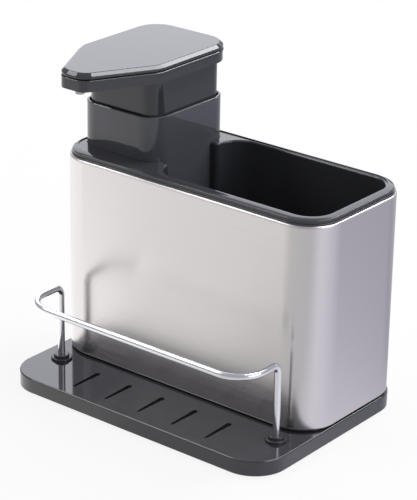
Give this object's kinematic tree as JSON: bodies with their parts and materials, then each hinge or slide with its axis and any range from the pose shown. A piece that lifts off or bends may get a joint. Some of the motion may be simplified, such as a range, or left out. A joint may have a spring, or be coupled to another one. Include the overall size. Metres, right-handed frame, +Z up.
{
  "type": "soap pump caddy",
  "caption": "Sink caddy: dark moulded tray, brushed steel body with an open brush compartment, lift-out soap pump with a flat angular head, and a bent wire rail for a sponge.",
  "frame": {"origin": "On the table plane, under the middle of the tray, at the feet's lowest level.", "axes": "+Z up. +X to the right along the long side, with the pump on the left at -X. -Y is the front, where the sponge rail stands."},
  "size_m": [0.186, 0.132, 0.1905],
  "materials": {
    "charcoal_gloss": "smooth glossy moulded plastic, charcoal",
    "charcoal_satin": "satin moulded plastic, charcoal",
    "brushed_steel": "stainless sheet brushed along its length",
    "rail_chrome": "bright polished wire",
    "foot_rubber": "matt black rubber",
    "seal_rubber": "matt black rubber",
    "zinc_steel": "zinc-plated steel",
    "valve_steel": "polished stainless ball",
    "spring_steel": "drawn stainless wire",
    "pump_white": "natural white polypropylene",
    "tube_white": "natural polyethylene tube",
    "nozzle_grey": "natural pale plastic"
  },
  "bodies": {
    "caddy": {"base_tray": "charcoal_gloss", "tray_feet": "foot_rubber", "tray_screws": "zinc_steel", "steel_sleeve": "brushed_steel", "inner_tub": "charcoal_gloss", "rail_wire": "rail_chrome", "rail_grommets": "charcoal_satin", "rail_retainers": "zinc_steel"},
    "bottle": {"soap_bottle": "charcoal_gloss"},
    "pump": {"plate_gasket": "seal_rubber", "pump_plate": "charcoal_satin", "pump_housing": "pump_white", "housing_nut": "pump_white", "ball_cage": "pump_white", "dip_tube": "tube_white", "return_spring": "spring_steel", "stem_bush": "pump_white"},
    "head": {"pump_piston": "pump_white", "pump_stem": "pump_white", "spout_channel": "charcoal_satin", "spout_nozzle": "nozzle_grey", "head_shell": "charcoal_gloss", "head_lid": "charcoal_gloss"},
    "ball": {"inlet_ball": "valve_steel"}
  },
  "joints": [
    {"name": "bottle_lift", "type": "slide", "parent": "caddy", "child": "bottle", "axis": [0, 0, 1], "range_m": [0, 0.15]},
    {"name": "pump_lift", "type": "slide", "parent": "bottle", "child": "pump", "axis": [0, 0, 1], "range_m": [0, 0.14]},
    {"name": "head_press", "type": "slide", "parent": "pump", "child": "head", "axis": [0, 0, -1], "range_m": [0, 0.016], "stiffness_N_per_m": 300, "springref_m": -0.012, "deforming": ["return_spring"]},
    {"name": "ball_lift", "type": "slide", "parent": "pump", "child": "ball", "axis": [0, 0, 1], "range_m": [0, 0.0015]}
  ]
}
